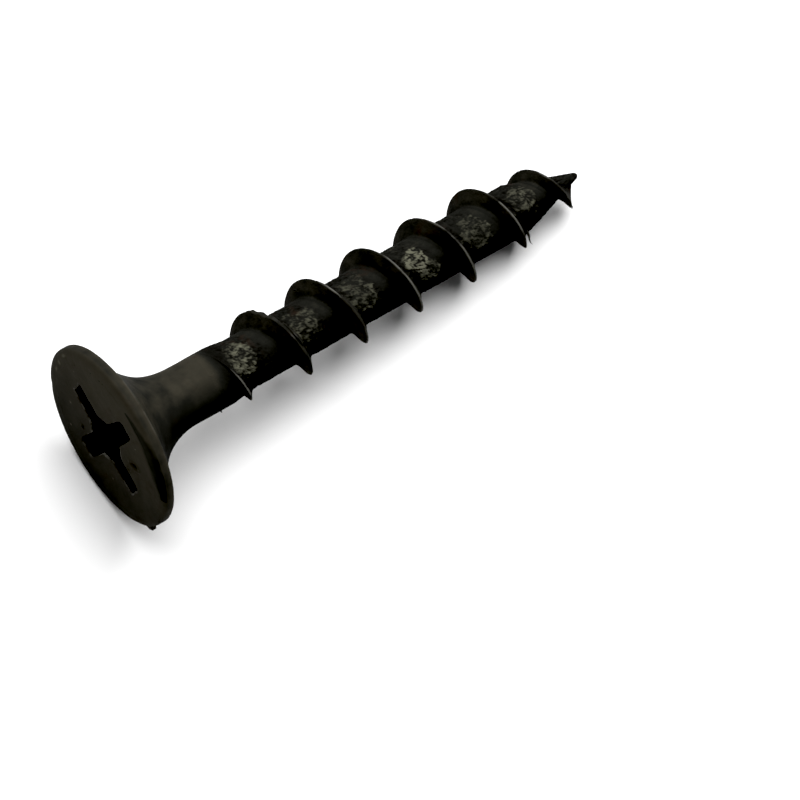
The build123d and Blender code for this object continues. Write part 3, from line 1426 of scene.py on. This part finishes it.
    def mark(self, mesh: bpy.types.Mesh, points: np.ndarray, radii: np.ndarray) -> None:
        """Stores on the mesh how much wear each place has, how pale its specks are and how light its coat is,
        painted light and shade included.

        Args:
            mesh: the skin over the rows.
            points: even places of the rows.
            radii: distance of each place from the axis.
        """
        degrees = turn_from(np.arange(self.columns) * 360.0 / self.columns, 0.0) + np.zeros_like(radii)
        patchy = patterned(points, lambda p: noise.fractal(p * 1.3, 0.8, 2.1, 4))
        depths = points[..., 2]
        tone, speck = self.tone(radii, depths, degrees, patchy)
        row = np.arange(len(points))[:, None]
        behind_rim = np.abs(depths - self.rim_back - 0.08) / self.ridge_half_width
        ridge = np.clip(1.0 - behind_rim, 0.0, 1.0) * (radii > 3.7)
        mouth = (row >= self.recess_rows) & (row < self.recess_rows + self.rounding_rows)
        wear = ridge * (0.22 + 0.3 * patchy) + mouth * np.clip(0.25 + 0.9 * patchy, 0.0, 0.6)
        for name, values in ((WEAR_AND_HIGHLIGHT, wear), (SCALE, speck), (TONE, tone)):
            ends = (values[0].mean(), values[-1].mean())
            kept = np.concatenate([values[1:-1].reshape(-1), ends]).astype(np.float32)
            mesh.attributes.new(name, "FLOAT", "POINT").data.foreach_set("value", kept)

    def tone(
        self, radii: np.ndarray, depths: np.ndarray, degrees: np.ndarray, patchy: np.ndarray
    ) -> tuple[np.ndarray, np.ndarray]:
        """How light the coat is: painted shade in the recess, a grey face with painted light on one side and
        a painted shade crescent, light ridge, brown shank with painted shade on one side.

        Args:
            radii: distance of each place from the axis.
            depths: distance of each place from the head's face.
            degrees: angle of each place.
            patchy: the coat's patches, around 0.

        Returns:
            How light each place is, and how pale a speck shows there.
        """
        at_join = np.clip((self.shank.join_at - depths) / 0.8, 0.0, 1.0)
        patch_share = at_join * np.clip((depths + 0.1) / 0.4, 0.0, 1.0)
        tone = np.interp(depths, self.tone_depths, self.tones) + self.patchiness * patchy * patch_share
        face_share = np.clip(1.0 - depths / self.rim_front, 0.0, 1.0)
        # Painted light across the face: lighter on one side, darker on the other.
        painted_light_facing = np.cos(np.radians(degrees - self.painted_face_light_turn))
        tone += self.painted_face_light * painted_light_facing * radii / self.head_radius * face_share
        # Painted shade on one side of the flare and the shank.
        on_flare = np.clip((depths - 0.7) / 0.8, 0.0, 1.0)
        painted_shade_share = np.interp(degrees, self.painted_shade_turns, self.painted_shade_shares) * on_flare
        tone -= self.shade * painted_shade_share * tone
        on_face = self.on_face(radii, depths)
        # Painted shade: the dark crescent on the rolled edge, not a stain.
        middle = np.interp(degrees, self.crescent_shade_turns, self.crescent_shade_radii)
        width = np.interp(degrees, self.crescent_shade_turns, self.crescent_shade_widths, left=0.0, right=0.0) + 1e-3
        crescent = np.clip(1.9 - np.abs(radii - middle + 0.1 * patchy) / width, 0.0, 1.0)
        tone -= self.stain * crescent * on_face * (depths < self.rim_front * 0.8)
        speck = np.zeros_like(tone)
        for blemish in self.blemishes:
            reach = self.reach(blemish, radii, degrees)
            mark = np.clip(1.3 - 1.3 * reach, 0.0, 1.0) * on_face * (0.8 + 0.8 * patchy)
            tone += blemish.pale * mark
            speck += self.speck * max(blemish.pale, 0.0) * mark
        # Painted shade: the recess is darkened, darker the deeper it goes, in place of its coat's own tone.
        in_recess = np.arange(len(radii))[:, None] < self.recess_rows
        return np.where(in_recess, 0.1 - depths * 1.2, tone), speck


def bend(
    start: tuple[float, float], elbow: tuple[float, float], end: tuple[float, float], share: float
) -> tuple[float, float]:
    """Point on a curve that leaves start towards the elbow and arrives at end from it.

    Args:
        start: first point.
        elbow: where the two end directions meet.
        end: last point.
        share: how far along the curve, from 0 to 1.

    Returns:
        The point.
    """
    rest = 1.0 - share
    weights = (rest * rest, 2.0 * rest * share, share * share)
    return tuple(sum(w * p[k] for w, p in zip(weights, (start, elbow, end))) for k in (0, 1))


@dataclass(frozen=True)
class BlackPhosphate:
    """Dark crystalline coat on steel. Colours are linear red, green and blue."""

    name: str
    deep: tuple[float, float, float] = (0.0072, 0.0070, 0.0065)
    body: tuple[float, float, float] = (0.0152, 0.0153, 0.0136)
    pale: tuple[float, float, float] = (0.038, 0.035, 0.027)
    scale: tuple[float, float, float] = (0.100, 0.099, 0.073)
    rust: tuple[float, float, float] = (0.021, 0.014, 0.011)
    steel: tuple[float, float, float] = (0.100, 0.098, 0.088)
    roughness: float = 0.55
    gloss: float = 0.0075
    grain_depth: float = 0.012
    bump_strength: float = 0.8
    rustiness: float = 0.5
    mottling: float = 1.0

    def build(self) -> bpy.types.Material:
        """Makes the material.

        Returns:
            The material, with its colour, roughness and bump from patterns on the piece.
        """
        material = bpy.data.materials.new(self.name)
        material.use_nodes = True
        sheet = Sheet(material.node_tree)
        shader = material.node_tree.nodes["Principled BSDF"]
        place = sheet.vector("SCALE", sheet.out(sheet.node("ShaderNodeTexCoord"), "Object"), scale=1.0 / MM)
        mottle = sheet.cloud(place, 0.9, detail=5.0, seed=21.0, rough=0.6)
        blotch = sheet.cloud(place, 3.1, detail=4.0, seed=22.0, rough=0.65)
        grain = sheet.cloud(place, 16.0, detail=3.0, seed=23.0, rough=0.6)
        dust = sheet.cells(place, 2.3, Feature.NEAREST, seed=24.0)
        wear, scale = self.read(sheet, WEAR_AND_HIGHLIGHT), self.read(sheet, SCALE)
        uneven = (mottle - 0.5) * 0.5 + (blotch - 0.5) * 0.3 + (grain - 0.5) * 0.2
        # The stored tone carries the pieces' painted light and shade along with the coat's own tone.
        tone = self.read(sheet, TONE) + uneven * self.mottling

        crusty = (scale + (grain - 0.5) * 0.5).ramp(0.1, 1.0, smooth=False)
        stain = sheet.cloud(sheet.warped(place, 0.2, 2.0, seed=26.0), 0.8, detail=3.0, seed=25.0)
        rusty = stain.ramp(0.56, 0.68) * blotch.ramp(0.42, 0.6) * self.rustiness
        fleck = 1.0 - sheet.out(dust, "Distance").ramp(0.04, 0.10)
        dusty = fleck * sheet.lot(dust).ramp(0.93, 0.95) * 0.8
        # Bare steel where the pieces keep wear, which on the crest includes a painted highlight.
        worn_and_highlit = (wear * (0.4 + grain * 1.2)).ramp(0.15, 0.9, smooth=False)
        colour = self.blend(sheet, tone.ramp(0.0, 0.5, smooth=False), self.deep, self.body)
        for share, layer in (
            (tone.ramp(0.5, 1.0, smooth=False), self.pale),
            (crusty, self.scale),
            (rusty, self.rust),
            (dusty, self.scale),
            (worn_and_highlit, self.steel),
        ):
            colour = self.blend(sheet, share, colour, layer)
        colour.feed(shader.inputs["Base Color"])
        rough = (grain - 0.5) * 0.35 + (blotch - 0.5) * 0.2 - worn_and_highlit * 0.15 + scale * 0.12 + self.roughness
        rough.feed(shader.inputs["Roughness"])
        (tone.ramp(-0.2, 1.2) * self.gloss).feed(shader.inputs["Specular IOR Level"])
        bump = sheet.node("ShaderNodeBump")
        bump.inputs["Strength"].default_value = self.bump_strength
        bump.inputs["Distance"].default_value = self.grain_depth * MM
        (grain * 0.8 + blotch * 1.2).feed(bump.inputs["Height"])
        sheet.out(bump).feed(shader.inputs["Normal"])
        return material

    def read(self, sheet: Sheet, name: str) -> Field:
        """Value that a piece keeps on its mesh under that name."""
        return sheet.out(sheet.node("ShaderNodeAttribute", attribute_name=name), "Fac")

    def blend(
        self,
        sheet: Sheet,
        share: Field,
        first: Field | tuple[float, float, float],
        second: tuple[float, float, float],
    ) -> Field:
        """Mixes two colours.

        Args:
            sheet: the material's helper.
            share: how much of the second colour there is.
            first: the first colour.
            second: the second colour.

        Returns:
            The mixed colour.
        """
        node = sheet.node("ShaderNodeMix", data_type="RGBA")
        share.feed(node.inputs["Factor"])
        for target, value in ((node.inputs[6], first), (node.inputs[7], second)):
            put(value if isinstance(value, Field) else (*value, 1.0), target)
        return sheet.out(node, 2)


@dataclass(frozen=True)
class Studio:
    """White floor, one large soft light from behind, a weak even light from all round and the camera."""

    camera_place: tuple[float, float, float] = (-0.04677, -0.03982, 0.14152)
    camera_right: tuple[float, float, float] = (0.80724, -0.57734, 0.12268)
    camera_up: tuple[float, float, float] = (0.50405, 0.78245, 0.36566)
    lens: float = 165.3
    sensor: float = 36.0
    floor_size: float = 1.2
    floor_white: float = 0.86
    floor_roughness: float = 0.7
    black_level: float = 0.0135
    ambient: float = 0.12
    key_direction: tuple[float, float] = (0.68, 0.73)
    key_elevation: float = 67.0
    key_distance: float = 0.40
    key_size: float = 0.50
    key_power: float = 4.15

    def build(self) -> None:
        """Makes the floor, the lights and the camera."""
        self.floor()
        height = math.radians(self.key_elevation)
        flat = Vector((*self.key_direction, 0.0)).normalized() * math.cos(height)
        place = (flat + Vector((0.0, 0.0, math.sin(height)))) * self.key_distance
        self.light("key", place, self.key_size, self.key_power)
        world = bpy.data.worlds.new("room")
        world.use_nodes = True
        background = world.node_tree.nodes["Background"]
        background.inputs["Color"].default_value = (1.0, 1.0, 1.0, 1.0)
        background.inputs["Strength"].default_value = self.ambient
        bpy.context.scene.world = world
        self.tone()
        self.camera()

    def tone(self) -> None:
        """Keeps the colours plain and sets how dark a tone still shows as black."""
        view = bpy.context.scene.view_settings
        view.view_transform = "Standard"
        view.use_curve_mapping = True
        view.curve_mapping.black_level = (self.black_level,) * 3
        view.curve_mapping.update()

    def floor(self) -> None:
        """Makes the plain white floor."""
        half = self.floor_size / 2
        mesh = bpy.data.meshes.new("floor")
        square = [(-half, -half, 0.0), (half, -half, 0.0), (half, half, 0.0), (-half, half, 0.0)]
        mesh.from_pydata(square, [], [(0, 1, 2, 3)])
        material = bpy.data.materials.new("white_board")
        material.use_nodes = True
        shader = material.node_tree.nodes["Principled BSDF"]
        shader.inputs["Base Color"].default_value = (*(self.floor_white,) * 3, 1.0)
        shader.inputs["Roughness"].default_value = self.floor_roughness
        mesh.materials.append(material)
        board = bpy.data.objects.new("floor", mesh)
        bpy.context.scene.collection.objects.link(board)

    def light(self, name: str, place: Vector, size: float, power: float) -> None:
        """Adds a square soft light that faces the screw.

        Args:
            name: name of the light.
            place: where it stands.
            size: length of its sides.
            power: its power in watts.
        """
        lamp = bpy.data.lights.new(name, "AREA")
        lamp.size = size
        lamp.energy = power
        holder = bpy.data.objects.new(name, lamp)
        holder.location = place
        holder.rotation_euler = (-place).to_track_quat("-Z", "Y").to_euler()
        bpy.context.scene.collection.objects.link(holder)

    def camera(self) -> None:
        """Adds the camera and makes it the scene's own."""
        lens = bpy.data.cameras.new("camera")
        lens.lens = self.lens
        lens.sensor_width = self.sensor
        lens.clip_start = 0.01
        lens.clip_end = 10.0
        holder = bpy.data.objects.new("camera", lens)
        right = Vector(self.camera_right).normalized()
        up = Vector(self.camera_up).normalized()
        back = right.cross(up)
        turned = Matrix((right, up, back)).transposed().to_4x4()
        holder.matrix_world = Matrix.Translation(self.camera_place) @ turned
        bpy.context.scene.collection.objects.link(holder)
        bpy.context.scene.camera = holder


def corners(box: tuple[Vector, Vector]) -> list[list[float]]:
    """Lowest and highest corner of a box as plain lists."""
    return [[float(v) for v in corner] for corner in box]


def main() -> None:
    """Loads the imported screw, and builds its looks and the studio."""
    logging.basicConfig(level=logging.INFO, format="%(name)s: %(message)s")
    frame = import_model()
    lie = Lie.from_record(frame["record"])
    forged = BlackPhosphate("forged_black_phosphate", grain_depth=0.002, rustiness=0.25, mottling=0.38)
    rolled = BlackPhosphate("rolled_black_phosphate", roughness=0.6, grain_depth=0.03, rustiness=0.5)
    Head().build(lie, forged.build())
    coat = rolled.build()
    _, upright = ThreadedCore().build(lie, coat)
    CrustFlakes().build(lie, upright, coat)
    Slivers().build(lie, coat)
    Studio().build()


if __name__ == "__main__":
    main()
